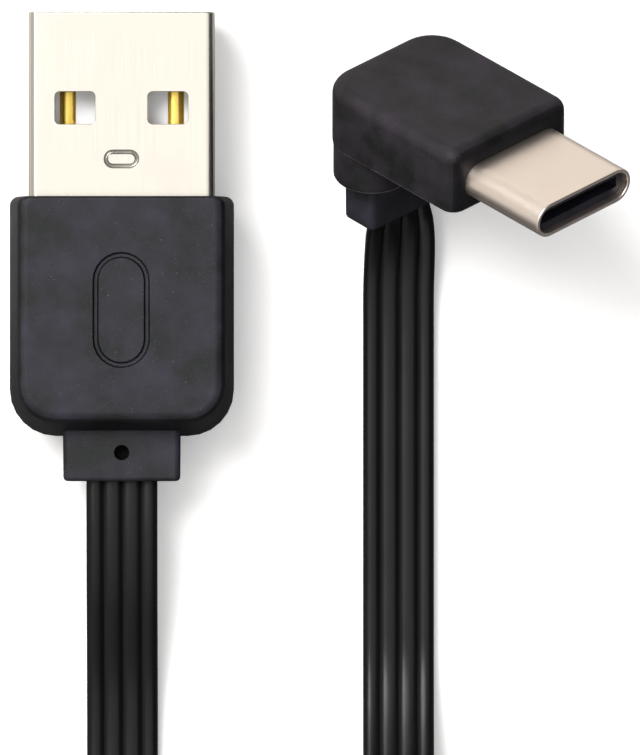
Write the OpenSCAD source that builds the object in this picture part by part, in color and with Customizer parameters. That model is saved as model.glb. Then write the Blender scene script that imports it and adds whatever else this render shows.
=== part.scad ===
// Charging cable: a USB-A plug, a flat ribbed ribbon and a right-angle USB-C plug.
// The USB-A plug lies flat at the origin with its mouth towards +Y, and the ribbon leaves it
// towards -Y. The hidden length is wound into a coil on the same surface.

/* [USB-A plug] */
// Outside width of the steel shell
a_shell_w = 12.0; // [11.6:0.1:12.2]
// Outside height of the steel shell
a_shell_t = 4.5; // [4.4:0.1:4.6]
// Length of shell that stands out of the grip
a_shell_out = 11.9; // [11.7:0.1:16]
// Thickness of the shell's sheet steel
a_shell_wall = 0.3; // [0.2:0.05:0.35]
// Width of the moulded grip
a_grip_w = 14.5; // [13.8:0.1:17.5]
// Length of the moulded grip
a_grip_l = 15.5; // [15:0.1:20]
// Thickness of the moulded grip
a_grip_t = 7.6; // [7:0.1:9.5]
// Radius of the grip's rear corners
a_grip_corner = 3.0; // [1.6:0.1:3.6]

/* [USB-C plug] */
// Outside width of the steel shell
c_shell_w = 8.25; // [8.1:0.05:8.4]
// Outside height of the steel shell
c_shell_t = 2.4; // [2.3:0.05:2.5]
// Length of shell that stands out of the block
c_shell_out = 6.7; // [6.6:0.1:8.4]
// Thickness of the shell's steel
c_shell_wall = 0.25; // [0.2:0.05:0.3]
// Length of the block along the plug
c_block_l = 12.8; // [11:0.1:15.5]
// Width of the block
c_block_w = 10.4; // [10:0.1:12.6]
// Height of the block
c_block_h = 4.6; // [4.4:0.1:5.8]
// Height of the neck under the block
c_neck_h = 2.6; // [1.5:0.1:3]
// Thickness of the neck along the plug
c_neck_t = 5.0; // [4.6:0.1:5.2]

/* [Collars] */
// Width of each collar
collar_w = 7.6; // [6.8:0.1:8.4]
// Thickness of each collar
collar_t = 2.8; // [2.6:0.1:3.4]
// Length of collar outside the USB-A grip
collar_a_out = 2.9; // [2.5:0.1:4]
// Length of collar outside the USB-C neck
collar_c_out = 3.4; // [2.5:0.1:4]
// Bore of the blind pin hole in each collar
pin_hole_d = 1.0; // [0.6:0.1:1.4]

/* [Ribbon] */
// Width of the ribbon
ribbon_w = 4.6; // [4.2:0.1:5]
// Thickness of the ribbon
ribbon_t = 1.2; // [1:0.1:1.4]
// Spacing of the four cores across the ribbon
core_pitch = 1.2; // [1.05:0.05:1.2]
// Outside diameter of each insulated core
core_d = 0.8; // [0.6:0.05:0.9]

/* [Coil] */
// Radius of the coil's outermost turn, at the middle of the ribbon
coil_r = 29.4; // [28:0.1:36]
// Spacing from one turn to the next
coil_pitch = 1.75; // [1.7:0.05:2.1]
// Number of turns
coil_turns = 5.25; // [3.25:1:6.25]
// Width of each tie along the coil
tie_w = 3.0; // [2:0.5:6]
// Thickness of each tie
tie_t = 0.4; // [0.3:0.1:0.6]

/* [Fits] */
// Clearance between pieces that nest
fit = 0.03; // [0.01:0.01:0.05]

/* [Hidden] */
$fn = 48;
eps = 1;

// USB-A plug: its length is centred on the origin and it rests on z = 0
a_len = a_shell_out + a_grip_l + collar_a_out;
a_tip_y = a_len / 2;
a_front_y = a_tip_y - a_shell_out;
a_rear_y = a_front_y - a_grip_l;
a_exit_y = a_rear_y - collar_a_out;
a_mid_z = a_grip_t / 2;
a_edge_r = 1.5;
a_front_edge_r = 0.5;
a_shell_in = 3.5;
a_shell_rear_y = a_front_y - a_shell_in;
a_shell_corner = 0.6;
a_window_x = 3.0;
a_window_w = 2.6;
a_window_l = 2.1;
a_window_y = a_tip_y - 6.2;
a_key_y = a_tip_y - 9.5;
a_key_w = 2.3;
a_key_l = 1.2;
a_key_depth = 0.12;
a_seam = 0.1;
a_bore_w = a_shell_w - 2 * a_shell_wall;
a_bore_t = a_shell_t - 2 * a_shell_wall;
a_tongue_t = 1.9;
a_tongue_top = a_mid_z - a_bore_t / 2 + a_tongue_t;
a_tongue_inset = 0.4;
a_hollow_l = 8.8;
a_contact_w = 1.0;
a_contact_t = 0.25;
a_contact_proud = 0.06;
a_contact_z = a_tongue_top + a_contact_proud - a_contact_t;
a_power_x = 3.5;
a_data_x = 1.0;
a_power_inset = 1.2;
a_data_inset = 2.2;
a_tail_l = 3.0;
a_tail_y = a_shell_rear_y - a_tail_l;
a_joint_l = 1.4;
a_joint_r = 0.42;
a_mould_l = a_grip_l - a_shell_in - 3;
a_mould_w = 10.6;
a_mould_t = 5.0;
a_mould_y = a_shell_rear_y - a_mould_l;
a_core_y = a_mould_y + 0.8;
a_core_gap = 0.18;
mark_w = 3.7;
mark_l = 7.5;
mark_line = 0.4;
mark_depth = 0.2;
mark_y = -4.1 + a_grip_l - 15.5;

// Collar: its own frame has the cable leaving along -Y and the seat plane at y = 0
collar_edge_r = 0.7;
collar_stem_w = 6.4;
collar_stem_l = 2.0;
pin_hole_l = 0.8;
pin_hole_at = 1.05;

// USB-C plug, in a frame of its own: X along the plug, Z away from the cable, and the origin
// where the ribbon leaves the collar
c_tilt = 33;
c_turn = 47;
c_exit = [18, 2.8, 2.8];
c_rear_x = -2.4;
c_front_x = c_rear_x + c_block_l;
c_tip_x = c_front_x + c_shell_out;
c_neck_z = collar_c_out;
c_block_z = c_neck_z + c_neck_h;
c_top_z = c_block_z + c_block_h;
c_block_mid_z = c_top_z - c_block_h / 2;
c_mid_z = c_block_mid_z - 0.35;
c_neck_w = c_block_w - 0.2;
c_rear_r = 2.5;
c_front_r = 1.0;
c_edge_r = 0.9;
c_shell_in = 3.2;
c_shell_rear_x = c_front_x - c_shell_in;
c_bore_w = c_shell_w - 2 * c_shell_wall;
c_bore_t = c_shell_t - 2 * c_shell_wall;
c_core_inset = 0.5;
c_slot_w = 6.6;
c_slot_t = 0.76;
c_slot_l = 5.4;
c_pin_pitch = 0.5;
c_pin_w = 0.28;
c_pin_t = 0.12;
c_pin_inset = 1.3;
c_upper_pins = [-5.5, -2.5, -1.5, -0.5, 0.5, 2.5, 5.5];
c_lower_pins = [-5.5, -2.5, 2.5, 5.5];
c_latch_w = 0.18;
c_latch_h = 0.5;
c_spring_w = 4.6;
c_spring_l = 3.2;
c_spring_t = 0.1;
c_board_w = 7.6;
c_board_t = c_slot_t;
c_board_rear_x = -1.0;
c_tail_l = 1.2;
c_tail_x = c_shell_rear_x - c_tail_l;
c_joint_h = 0.35;
c_joint_r = 0.45;
c_mould_rear_x = -1.5;
c_mould_w = 8.8;
c_mould_t = c_block_h - 1.4;
c_jacket_z = c_neck_z + 1.0;
c_resistor = [1.0, 0.5, 0.35];
c_resistor_at = [2.4, 1.6];

// Cord: where the coil stands, and the route of the two runs as [x, y, z, roll].
// A roll of 0 lies flat and a roll of 90 stands on edge.
coil_y = -69;
coil_x = coil_r;
coil_z = tie_t;
coil_in_r = coil_r - coil_pitch * coil_turns;
tie_angles = [20, 140, 250];
tie_gap = 0.1;
a_run = [
    [0, -18.5, 3.7, 0], [0, -22, 3.1, 0], [0, -25, 2.2, 0], [0, -28, 1.3, 0],
    [0, -31, 0.8, 0], [0, -34, 0.65, 0], [0, -37, 0.8, 4], [0, -40.4, 1.3, 18],
    [0, -43.8, 1.9, 34], [0, -47.2, 2.3, 50], [0, -50.6, 2.6, 66], [0, -54, 2.75, 80],
    [0, -57.5, 2.7, 90], [0, -61, 2.7, 90]
];
c_run = [
    [34.3, -87.4, 2.7, 90], [36.6, -85.4, 2.7, 90], [38.4, -82.8, 2.7, 90], [39.2, -79, 2.7, 90],
    [38.4, -75.3, 2.7, 90], [36, -71.9, 2.7, 90], [32.7, -69.8, 2.7, 90], [29, -69, 2.7, 90],
    [25.2, -68.3, 2.7, 90], [21.8, -66.4, 2.8, 88], [19.4, -63.4, 3.4, 82], [18.1, -60, 4.5, 70],
    [17.9, -56.8, 5.9, 52], [17.9, -53.5, 7.0, 34], [17.9, -50, 7.1, 18], [17.9, -46.5, 6.6, 7],
    [17.9, -43, 6.0, 0], [17.9, -39.5, 5.3, 0], [17.9, -36.2, 3.9, 0], [17.9, -33, 2.4, 0],
    [17.9, -30, 1.3, 0], [17.9, -27, 0.7, 0], [17.9, -24, 0.62, 0], [17.9, -19, 0.62, 0],
    [17.9, -14, 0.62, 0], [17.9, -9, 0.62, 0], [17.9, -5.5, 0.65, 0], [17.9, -3, 0.85, 0],
    [17.95, -1.2, 1.15, 3], [18, 0.3, 1.6, 10], [18, 1.6, 2.15, 24]
];

// ---- shapes that repeat ----

// A flat rectangle with round corners, centred
module round_rect(w, h, r) {
    square([w - 2 * r, h], center = true);
    square([w, h - 2 * r], center = true);
    for (x = [-1, 1], y = [-1, 1])
        translate([x * (w / 2 - r), y * (h / 2 - r)]) circle(r);
}

// A flat slot shape with half-round ends along X, centred
module stadium(w, h) {
    square([w - h, h], center = true);
    for (x = [-1, 1]) translate([x * (w - h) / 2, 0]) circle(h / 2);
}

// A bar along Y from y0 to y1 whose section in X and Z is the flat child
module bar_y(y0, y1, z = 0) {
    translate([0, y1, z]) rotate([90, 0, 0]) linear_extrude(y1 - y0) children();
}

// A bar along X from x0 to x1 whose section in Y and Z is the flat child
module bar_x(x0, x1, z = 0) {
    translate([x0, 0, z]) rotate([90, 0, 90]) linear_extrude(x1 - x0) children();
}

// A round rod from point p to point q
module rod(p, q, r) {
    v = q - p;
    translate(p) rotate([0, acos(v[2] / norm(v)), atan2(v[1], v[0])])
        cylinder(r = r, h = norm(v));
}

// ---- collar, in its own frame ----

module collar(out) {
    difference() {
        union() {
            bar_y(-out, 0) round_rect(collar_w, collar_t, collar_edge_r);
            bar_y(0, collar_stem_l) round_rect(collar_stem_w, collar_t, collar_edge_r);
        }
        ribbon_slot(-out - eps, collar_stem_l + eps);
        translate([0, -pin_hole_at, collar_t / 2 - pin_hole_l])
            cylinder(d = pin_hole_d, h = pin_hole_l + eps);
    }
}

// The room that a collar's stem takes in the moulding around it
module collar_seat(out) {
    bar_y(-out, collar_stem_l + fit)
        round_rect(collar_stem_w + 2 * fit, collar_t + 2 * fit, collar_edge_r);
}

module ribbon_slot(y0, y1) {
    bar_y(y0, y1) square([ribbon_w + 2 * fit, ribbon_t + 2 * fit], center = true);
}

// ---- USB-A plug ----

module usb_a_shell() {
    color("ivory") difference() {
        bar_y(a_shell_rear_y, a_tip_y, a_mid_z) round_rect(a_shell_w, a_shell_t, a_shell_corner);
        bar_y(a_shell_rear_y - eps, a_tip_y + eps, a_mid_z)
            round_rect(a_bore_w, a_bore_t, a_shell_corner - a_shell_wall);
        for (x = [-1, 1]) translate([x * a_window_x, a_window_y, -eps])
            linear_extrude(a_grip_t + 2 * eps) round_rect(a_window_w, a_window_l, 0.3);
        translate([0, a_key_y, a_mid_z + a_shell_t / 2 - a_key_depth])
            linear_extrude(eps) difference() {
                stadium(a_key_w, a_key_l);
                stadium(a_key_w - 0.6, a_key_l - 0.6);
            }
        translate([-a_seam / 2, a_shell_rear_y - eps, -eps])
            cube([a_seam, a_tip_y - a_shell_rear_y + 2 * eps, a_mid_z]);
    }
}

module usb_a_insulator() {
    tip = a_tip_y - a_tongue_inset;
    low = a_mid_z - a_bore_t / 2 + fit;
    half = a_bore_w / 2 - fit;
    color("white") difference() {
        bar_y(a_shell_rear_y, tip, a_mid_z)
            round_rect(2 * half, a_bore_t - 2 * fit, a_shell_corner - a_shell_wall);
        translate([-a_shell_w / 2, tip - a_hollow_l, a_tongue_top])
            cube([a_shell_w, a_hollow_l + eps, a_shell_t]);
        usb_a_blades(a_power_x, a_power_inset, fit);
        usb_a_blades(a_data_x, a_data_inset, fit);
    }
}

// A pair of contact blades at x = +-at, with room round them where grow is not 0
module usb_a_blades(at, inset, grow = 0) {
    for (x = [-at, at])
        translate([x - a_contact_w / 2 - grow, a_tail_y - grow, a_contact_z - grow])
            cube([a_contact_w + 2 * grow, a_tip_y - inset - a_tail_y + 2 * grow,
                a_contact_t + 2 * grow]);
}

module usb_a_power_contacts() { color("gold") usb_a_blades(a_power_x, a_power_inset); }

module usb_a_data_contacts() { color("gold") usb_a_blades(a_data_x, a_data_inset); }

// Contact positions from -X to +X, and the core that goes to each
a_core_x = [-a_power_x, -a_data_x, a_data_x, a_power_x];

// Core number i runs from the end of the ribbon to the joint on its contact's tail
module usb_a_core(i, grow = 0) {
    joint_z = a_contact_z + a_contact_t + a_joint_r;
    rod([(i - 1.5) * core_pitch, a_core_y + a_core_gap, a_mid_z],
        [a_core_x[i], a_tail_y - 0.1, joint_z], core_d / 2 + grow);
}

module usb_a_red_core() { color("red") usb_a_core(0); }

module usb_a_white_core() { color("white") usb_a_core(1); }

module usb_a_green_core() { color("green") usb_a_core(2); }

module usb_a_black_core() { color("black") usb_a_core(3); }

module usb_a_joints(grow = 0) {
    for (x = a_core_x)
        translate([x - a_joint_r - grow, a_tail_y + 0.6 - grow, a_contact_z + a_contact_t])
            cube([2 * (a_joint_r + grow), a_joint_l + 2 * grow, a_joint_r + grow]);
}

module usb_a_solder_joints() { color("lightgray") usb_a_joints(); }

module usb_a_inner_mould() {
    color("dimgray") difference() {
        bar_y(a_mould_y, a_shell_rear_y - fit, a_mid_z) round_rect(a_mould_w, a_mould_t, 0.8);
        usb_a_blades(a_power_x, a_power_inset, fit);
        usb_a_blades(a_data_x, a_data_inset, fit);
        usb_a_joints(fit);
        for (i = [0:3]) usb_a_core(i, fit);
        translate([0, 0, a_mid_z]) ribbon_slot(a_mould_y - eps, a_core_y);
    }
}

module usb_a_grip() {
    half_l = a_grip_l / 2;
    mid_y = a_rear_y + half_l;
    color([0.2, 0.2, 0.22]) difference() {
        intersection() {
            linear_extrude(a_grip_t) union() {
                translate([0, mid_y]) round_rect(a_grip_w, a_grip_l, a_grip_corner);
                translate([0, mid_y + half_l / 2])
                    round_rect(a_grip_w, half_l, a_front_edge_r);
            }
            bar_y(a_rear_y - eps, a_front_y + eps, a_mid_z)
                round_rect(a_grip_w, a_grip_t, a_edge_r);
            bar_x(-a_grip_w, a_grip_w, a_mid_z) {
                translate([mid_y, 0]) round_rect(a_grip_l, a_grip_t, a_edge_r);
                translate([mid_y + half_l / 2, 0]) round_rect(half_l, a_grip_t, a_front_edge_r);
            }
        }
        bar_y(a_shell_rear_y - fit, a_front_y + eps, a_mid_z)
            round_rect(a_shell_w + 2 * fit, a_shell_t + 2 * fit, a_shell_corner);
        bar_y(a_mould_y - fit, a_shell_rear_y + fit, a_mid_z)
            round_rect(a_mould_w + 2 * fit, a_mould_t + 2 * fit, 0.8);
        translate([0, a_rear_y, a_mid_z]) {
            collar_seat(eps);
            ribbon_slot(-eps, a_mould_y - a_rear_y);
        }
        translate([0, mark_y, a_grip_t - mark_depth]) rotate(90) linear_extrude(eps)
            difference() {
                stadium(mark_l, mark_w);
                stadium(mark_l - 2 * mark_line, mark_w - 2 * mark_line);
            }
    }
}

module usb_a_collar() {
    color([0.16, 0.16, 0.18]) translate([0, a_rear_y, a_mid_z]) collar(collar_a_out);
}

// ---- ribbon ----

// A swept tube: one ring of points round each stop of a route of [x, y, z, roll]
ring_n = 8;

// The ribbon's section, as an eight-sided slab with its corners cut off
function section(u) = let (w = ribbon_w / 2, t = ribbon_t / 2, c = ribbon_t / 4)
    [[w, t - c], [w - c, t], [c - w, t], [-w, t - c],
     [-w, c - t], [c - w, -t], [w - c, -t], [w, c - t]][u];

function unit(v) = v / norm(v);

function stop(p) = [p[0], p[1], p[2]];

function heading(route, i) = let (last = len(route) - 1)
    unit(stop(route[min(i + 1, last)]) - stop(route[max(i - 1, 0)]));

function side(t) = unit(cross([0, 0, 1], t));

// The ring at stop i, square to the heading t that it has there
function ring(p, t) = let (s = side(t), u = cross(t, s), a = p[3])
    [for (k = [0:ring_n - 1]) let (q = section(k))
        stop(p) + s * (q[0] * cos(a) - q[1] * sin(a)) + u * (q[0] * sin(a) + q[1] * cos(a))];

module ribbon(route, first_t, last_t) {
    last = len(route) - 1;
    points = [for (i = [0:last])
        each ring(route[i], i == 0 ? first_t : i == last ? last_t : heading(route, i))];
    walls = [for (i = [0:last - 1], k = [0:ring_n - 1])
        let (n = (k + 1) % ring_n, here = i * ring_n, next = here + ring_n)
        each [[here + k, here + n, next + n], [here + k, next + n, next + k]]];
    caps = [[for (k = [ring_n - 1:-1:0]) k], [for (k = [0:ring_n - 1]) last * ring_n + k]];
    polyhedron(points, concat(walls, caps));
}

// The run starts inside the USB-A plug, at the inner mould, and ends where the coil starts
module ribbon_a_run() {
    inside = [[0, a_core_y, a_mid_z, 0], [0, a_exit_y, a_mid_z, 0]];
    color([0.12, 0.12, 0.13]) ribbon(concat(inside, a_run), [0, -1, 0], [0, -1, 0]);
}

module ribbon_coil() {
    color([0.12, 0.12, 0.13]) translate([coil_x, coil_y, coil_z])
        rotate_extrude($fn = 96)
            translate([coil_in_r - ribbon_t / 2, 0])
                square([coil_r - coil_in_r + ribbon_t, ribbon_w]);
}

// The run starts where the innermost turn ends, crosses the coil and ends in the USB-C plug
module ribbon_c_run() {
    up = [0, cos(c_tilt), sin(c_tilt)];
    roll = 90 - c_turn;
    inside = [for (d = [0, c_jacket_z]) concat(c_exit + up * d, [roll])];
    color([0.12, 0.12, 0.13]) ribbon(concat(c_run, inside), unit([1.2, 1, 0]), up);
}

// Each tie is a thin band round the bundle of turns
module coil_ties() {
    in_r = coil_in_r - ribbon_t / 2;
    out_r = coil_r + ribbon_t / 2;
    color([0.1, 0.1, 0.1]) for (a = tie_angles)
        translate([coil_x, coil_y, coil_z]) rotate([90, 0, a]) translate([0, 0, -tie_w / 2])
            linear_extrude(tie_w) difference() {
                translate([in_r - tie_gap - tie_t, -tie_t])
                    square([out_r - in_r + 2 * (tie_gap + tie_t), ribbon_w + tie_gap + 2 * tie_t]);
                translate([in_r - tie_gap, 0])
                    square([out_r - in_r + 2 * tie_gap, ribbon_w + tie_gap]);
            }
}

// ---- USB-C plug ----

// Stands the plug where the ribbon ends
module place_c() {
    translate(c_exit) rotate([c_tilt - 90, 0, 0]) rotate([0, 0, -c_turn]) children();
}

module usb_c_shell() {
    color([0.88, 0.83, 0.78]) place_c() bar_x(c_shell_rear_x, c_tip_x, c_mid_z) difference() {
        stadium(c_shell_w, c_shell_t);
        stadium(c_bore_w, c_bore_t);
    }
}

// Contact pins at the given half-pitch places, on the side of the slot given by up
module usb_c_pins(places, up, grow = 0) {
    x0 = c_tail_x - grow;
    for (p = places) bar_x(x0, c_tip_x - c_pin_inset + grow, c_mid_z)
        translate([p * c_pin_pitch, up * (c_slot_t + c_pin_t) / 2])
            square([c_pin_w + 2 * grow, c_pin_t + 2 * grow], center = true);
}

module usb_c_latches(grow = 0) {
    for (s = [-1, 1]) bar_x(c_tail_x - grow, c_tip_x - c_pin_inset + grow, c_mid_z)
        translate([s * (c_slot_w + c_latch_w) / 2, 0])
            square([c_latch_w + 2 * grow, c_latch_h + 2 * grow], center = true);
}

// A thin ground spring in the face of the insulator, on the side given by up
module usb_c_ground_spring(up, grow = 0) {
    z = up * (c_bore_t / 2 - fit - c_spring_t / 2);
    x1 = c_tip_x - c_core_inset - 1;
    bar_x(x1 - c_spring_l - grow, x1 + grow, c_mid_z) translate([0, z])
        square([c_spring_w + 2 * grow, c_spring_t + 2 * grow], center = true);
}

module usb_c_insulator() {
    tip = c_tip_x - c_core_inset;
    color([0.13, 0.13, 0.16]) place_c() difference() {
        bar_x(c_shell_rear_x, tip, c_mid_z) stadium(c_bore_w - 2 * fit, c_bore_t - 2 * fit);
        bar_x(tip - c_slot_l, tip + eps, c_mid_z) square([c_slot_w, c_slot_t], center = true);
        usb_c_pins(c_upper_pins, 1, fit);
        usb_c_pins(c_lower_pins, -1, fit);
        usb_c_latches(fit);
        usb_c_ground_spring(1, fit);
        usb_c_ground_spring(-1, fit);
    }
}

module usb_c_upper_contacts() { color("gold") place_c() usb_c_pins(c_upper_pins, 1); }

module usb_c_lower_contacts() { color("gold") place_c() usb_c_pins(c_lower_pins, -1); }

module usb_c_side_latches() { color("silver") place_c() usb_c_latches(); }

module usb_c_upper_spring() { color("silver") place_c() usb_c_ground_spring(1); }

module usb_c_lower_spring() { color("silver") place_c() usb_c_ground_spring(-1); }

module usb_c_board_slab(grow = 0) {
    bar_x(c_board_rear_x - grow, c_shell_rear_x - fit, c_mid_z)
        square([c_board_w + 2 * grow, c_board_t + 2 * grow], center = true);
}

// The board butts against the insulator between the two rows of contact tails
module usb_c_circuit_board() {
    color("green") place_c() difference() {
        usb_c_board_slab();
        usb_c_latches(fit);
    }
}

module usb_c_resistor_block(grow = 0) {
    translate([c_resistor_at[0] - grow, c_resistor_at[1] - grow, c_mid_z + c_board_t / 2])
        cube([for (i = [0:2]) c_resistor[i] + (i < 2 ? 2 : 1) * grow]);
}

module usb_c_resistor() { color("black") place_c() usb_c_resistor_block(); }

// Core number i stands on the end of the ribbon and reaches its joint under the board
module usb_c_core(i, grow = 0) {
    z1 = c_mid_z - c_board_t / 2 - c_joint_h;
    translate([0, (i - 1.5) * core_pitch, c_jacket_z]) cylinder(d = core_d + 2 * grow,
        h = z1 - c_jacket_z);
}

module usb_c_red_core() { color("red") place_c() usb_c_core(0); }

module usb_c_white_core() { color("white") place_c() usb_c_core(1); }

module usb_c_green_core() { color("green") place_c() usb_c_core(2); }

module usb_c_black_core() { color("black") place_c() usb_c_core(3); }

module usb_c_joints(grow = 0) {
    for (i = [0:3]) translate([0, (i - 1.5) * core_pitch, c_mid_z - c_board_t / 2 - c_joint_h])
        cylinder(r = c_joint_r + grow, h = c_joint_h);
}

module usb_c_solder_joints() { color("lightgray") place_c() usb_c_joints(); }

module usb_c_mould_block(grow = 0) {
    bar_x(c_mould_rear_x - grow, c_shell_rear_x - fit + grow, c_mid_z)
        round_rect(c_mould_w + 2 * grow, c_mould_t + 2 * grow, 0.6);
}

module usb_c_inner_mould() {
    color("dimgray") place_c() difference() {
        usb_c_mould_block();
        usb_c_board_slab(fit);
        usb_c_pins(c_upper_pins, 1, fit);
        usb_c_pins(c_lower_pins, -1, fit);
        usb_c_resistor_block(fit);
        usb_c_joints(fit);
        for (i = [0:3]) usb_c_core(i, fit);
    }
}

// The block's plan: rounder at the rear than at the front
module usb_c_plan() {
    translate([c_rear_x + c_block_l / 2, 0]) round_rect(c_block_l, c_block_w, c_rear_r);
    translate([c_rear_x + c_block_l * 3 / 4, 0])
        round_rect(c_block_l / 2, c_block_w, c_front_r);
}

module usb_c_body() {
    mid_x = c_rear_x + c_block_l / 2;
    color([0.2, 0.19, 0.21]) place_c() difference() {
        union() {
            intersection() {
                translate([0, 0, c_block_z]) linear_extrude(c_block_h) usb_c_plan();
                bar_x(c_rear_x - eps, c_front_x + eps, c_block_mid_z)
                    round_rect(c_block_w, c_block_h, c_edge_r);
                translate([mid_x, 0, c_block_mid_z]) bar_y(-c_block_w, c_block_w)
                    round_rect(c_block_l, c_block_h, c_edge_r);
            }
            translate([0, 0, c_neck_z]) linear_extrude(c_mid_z - c_neck_z) translate(
                [c_rear_x + c_neck_t / 2, 0]) rotate(90) stadium(c_neck_w, c_neck_t);
        }
        bar_x(c_shell_rear_x - fit, c_front_x + eps, c_mid_z)
            stadium(c_shell_w + 2 * fit, c_shell_t + 2 * fit);
        usb_c_mould_block(fit);
        for (i = [0:3]) usb_c_core(i, fit);
        translate([0, 0, c_neck_z]) collar_axes() {
            collar_seat(eps);
            ribbon_slot(-eps, c_jacket_z - c_neck_z);
        }
    }
}

// Turns the collar's own frame so that its cable leaves along -Z and its face is to +X
module collar_axes() { rotate([90, 0, 90]) children(); }

module usb_c_collar() {
    color([0.16, 0.16, 0.18]) place_c() translate([0, 0, c_neck_z])
        collar_axes() collar(collar_c_out);
}

usb_a_shell();
usb_a_insulator();
usb_a_power_contacts();
usb_a_data_contacts();
usb_a_red_core();
usb_a_white_core();
usb_a_green_core();
usb_a_black_core();
usb_a_solder_joints();
usb_a_inner_mould();
usb_a_grip();
usb_a_collar();
ribbon_a_run();
ribbon_coil();
ribbon_c_run();
coil_ties();
usb_c_shell();
usb_c_insulator();
usb_c_upper_contacts();
usb_c_lower_contacts();
usb_c_side_latches();
usb_c_upper_spring();
usb_c_lower_spring();
usb_c_circuit_board();
usb_c_resistor();
usb_c_red_core();
usb_c_white_core();
usb_c_green_core();
usb_c_black_core();
usb_c_solder_joints();
usb_c_inner_mould();
usb_c_body();
usb_c_collar();
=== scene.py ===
import math
import bpy
import bmesh
from mathutils import Matrix, Vector


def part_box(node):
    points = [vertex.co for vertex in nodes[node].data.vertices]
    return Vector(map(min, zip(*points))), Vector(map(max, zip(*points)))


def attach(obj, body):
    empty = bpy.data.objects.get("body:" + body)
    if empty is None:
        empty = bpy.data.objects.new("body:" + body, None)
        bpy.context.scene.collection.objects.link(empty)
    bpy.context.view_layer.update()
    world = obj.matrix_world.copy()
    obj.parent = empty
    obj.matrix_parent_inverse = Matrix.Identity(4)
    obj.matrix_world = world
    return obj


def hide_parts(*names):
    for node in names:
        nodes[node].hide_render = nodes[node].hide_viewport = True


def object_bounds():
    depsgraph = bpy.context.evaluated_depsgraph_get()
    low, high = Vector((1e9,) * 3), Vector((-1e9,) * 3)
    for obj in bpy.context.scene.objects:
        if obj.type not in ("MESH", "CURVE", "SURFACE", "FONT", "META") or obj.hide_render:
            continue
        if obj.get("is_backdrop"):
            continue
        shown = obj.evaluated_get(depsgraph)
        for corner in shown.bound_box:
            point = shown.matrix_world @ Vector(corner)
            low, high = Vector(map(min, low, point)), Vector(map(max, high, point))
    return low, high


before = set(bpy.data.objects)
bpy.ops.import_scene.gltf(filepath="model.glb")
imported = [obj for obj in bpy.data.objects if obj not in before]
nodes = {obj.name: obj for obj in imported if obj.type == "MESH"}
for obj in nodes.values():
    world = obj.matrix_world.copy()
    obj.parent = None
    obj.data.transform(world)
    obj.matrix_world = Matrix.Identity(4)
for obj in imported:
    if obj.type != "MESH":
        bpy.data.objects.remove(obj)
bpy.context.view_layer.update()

# ---- Camera ----
# A long lens one metre above the table, looking straight down with +Y at the top of its view.
# The two plugs and the first of their ribbons fill it.
mm = 0.001
camera_at = (12.81 * mm, -8.45 * mm, 1.0)
camera = bpy.data.objects.new("camera", bpy.data.cameras.new("camera"))
bpy.context.scene.collection.objects.link(camera)
bpy.context.scene.camera = camera
camera.location = camera_at
camera.data.sensor_width = 36
camera.data.lens = 734.6
camera.data.clip_start = 0.05
camera.data.clip_end = 20
bpy.context.scene.view_settings.view_transform = "Standard"

# ---- Flat ribbon ----
# One flat cable of four cores side by side, with its black PVC jacket pulled over them in one
# piece, so that each core stands up as a rib. It is moulded into a collar at each end, and
# the length that isn't in use is wound on edge into a flat coil.
ribbon_w = 4.6 * mm
rib_pitch = 1.22 * mm
rib_top = 0.52 * mm
web_top = 0.29 * mm
rib_steps = 8
rib_fill, rib_roundness = 1.04, 2.2
edge_steps = 8
route_steps = 3
touching = 1e-7
coil_r = 29.4 * mm
coil_pitch = 1.75 * mm
coil_turns = 5.25
coil_step = math.radians(6)
coil_mid = Vector((coil_r, -69 * mm, 2.7 * mm))
plug_c_tilt = math.radians(33)
plug_c_turn = math.radians(47)
plug_c_exit = Vector((18, 2.8, 2.8)) * mm
# The two runs as (x, y, z, roll), in metres and degrees. A roll of 90 stands on edge.
run_from_a = [
    (0, -0.0185, 0.0037, 0), (0, -0.022, 0.0031, 0), (0, -0.025, 0.0022, 0), (0, -0.028, 0.0013, 0),
    (0, -0.031, 0.0008, 0), (0, -0.034, 0.00065, 0), (0, -0.037, 0.0008, 4),
    (0, -0.0404, 0.0013, 18), (0, -0.0438, 0.0019, 34), (0, -0.0472, 0.0023, 50),
    (0, -0.0506, 0.0026, 66), (0, -0.054, 0.00275, 80), (0, -0.0575, 0.0027, 90),
    (0, -0.061, 0.0027, 90), (0, -0.065, 0.0027, 90),
]
run_to_c = [
    (0.0343, -0.0874, 0.0027, 90), (0.0366, -0.0854, 0.0027, 90), (0.0384, -0.0828, 0.0027, 90),
    (0.0392, -0.079, 0.0027, 90), (0.0384, -0.0753, 0.0027, 90), (0.036, -0.0719, 0.0027, 90),
    (0.0327, -0.0698, 0.0027, 90), (0.029, -0.069, 0.0027, 90), (0.0252, -0.0683, 0.0027, 90),
    (0.0218, -0.0664, 0.0028, 88), (0.0194, -0.0634, 0.0034, 82), (0.0181, -0.06, 0.0045, 70),
    (0.0179, -0.0568, 0.0059, 52), (0.0179, -0.0535, 0.007, 34), (0.0179, -0.05, 0.0071, 18),
    (0.0179, -0.0465, 0.0066, 7), (0.0179, -0.043, 0.006, 0), (0.0179, -0.0395, 0.0053, 0),
    (0.0179, -0.0362, 0.0039, 0), (0.0179, -0.033, 0.0024, 0), (0.0179, -0.03, 0.0013, 0),
    (0.0179, -0.027, 0.0007, 0), (0.0179, -0.024, 0.00062, 0), (0.0179, -0.019, 0.00062, 0),
    (0.0179, -0.014, 0.00062, 0), (0.0179, -0.009, 0.00062, 0), (0.0179, -0.0055, 0.00065, 0),
    (0.0179, -0.003, 0.00085, 0), (0.01795, -0.0012, 0.00115, 3), (0.018, 0.0003, 0.0016, 10),
    (0.018, 0.0016, 0.00215, 24),
]
ribbon_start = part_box("ribbon_a_run")[1].y
collar_a_low, collar_a_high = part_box("usb_a_collar")
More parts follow.
